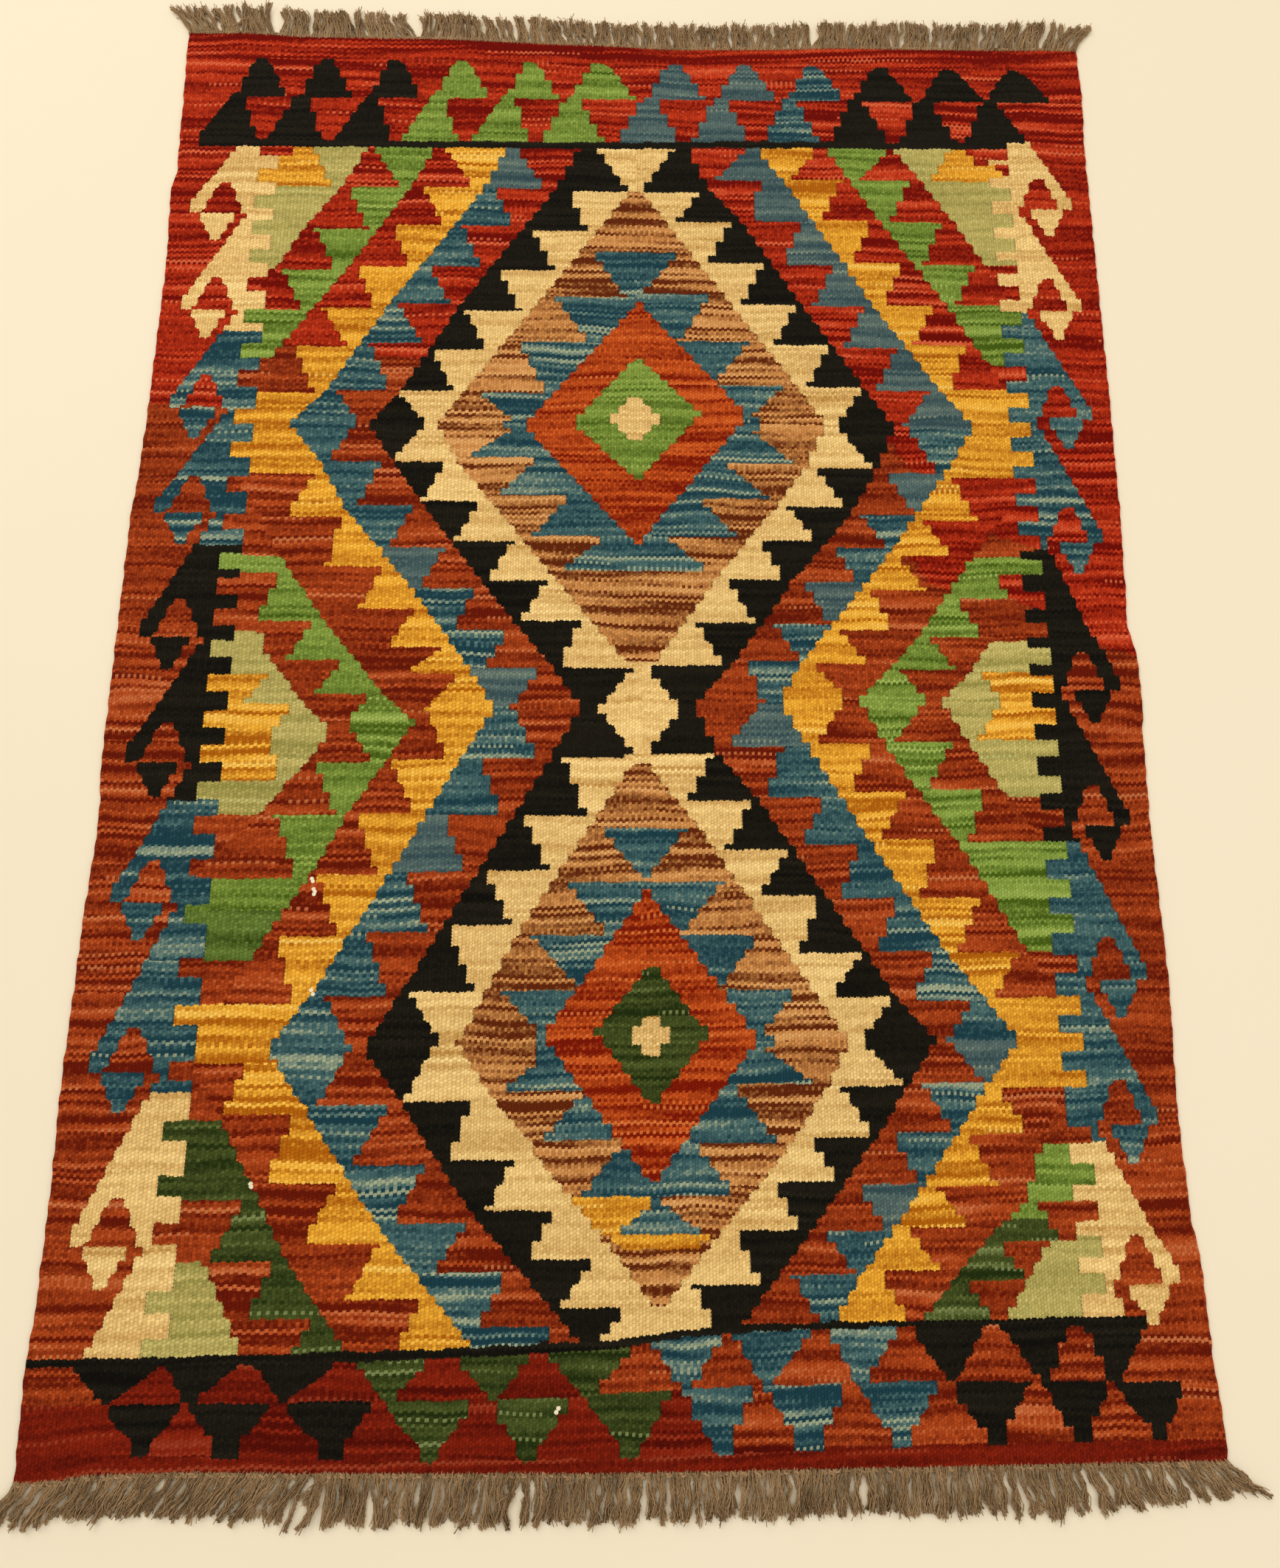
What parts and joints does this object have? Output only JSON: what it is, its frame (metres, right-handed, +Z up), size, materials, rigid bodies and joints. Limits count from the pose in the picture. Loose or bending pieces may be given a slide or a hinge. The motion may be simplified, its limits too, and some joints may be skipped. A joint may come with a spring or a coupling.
{
  "type": "kilim rug",
  "caption": "Small hand-woven wool kilim lying flat, a slit-tapestry cloth with stepped lozenges, and a knotted warp fringe at each end.",
  "frame": {"origin": "on the floor, under the middle of the rug's box with its fringes", "axes": "+Y along the rug from its near end to its far end, +X across it to the right, +Z up out of the floor"},
  "size_m": [0.8556, 1.2765, 0.0034],
  "materials": {
    "kilim_wool": "matt weft-faced wool tapestry, red ground with black, cream, green, blue, tan and brown figures",
    "fringe_wool": "undyed grey-brown two-ply wool warp ends, frayed at the tips"
  },
  "bodies": {
    "root": {"kilim_cloth": "kilim_wool", "fringe_far": "fringe_wool", "fringe_near": "fringe_wool"}
  },
  "joints": []
}
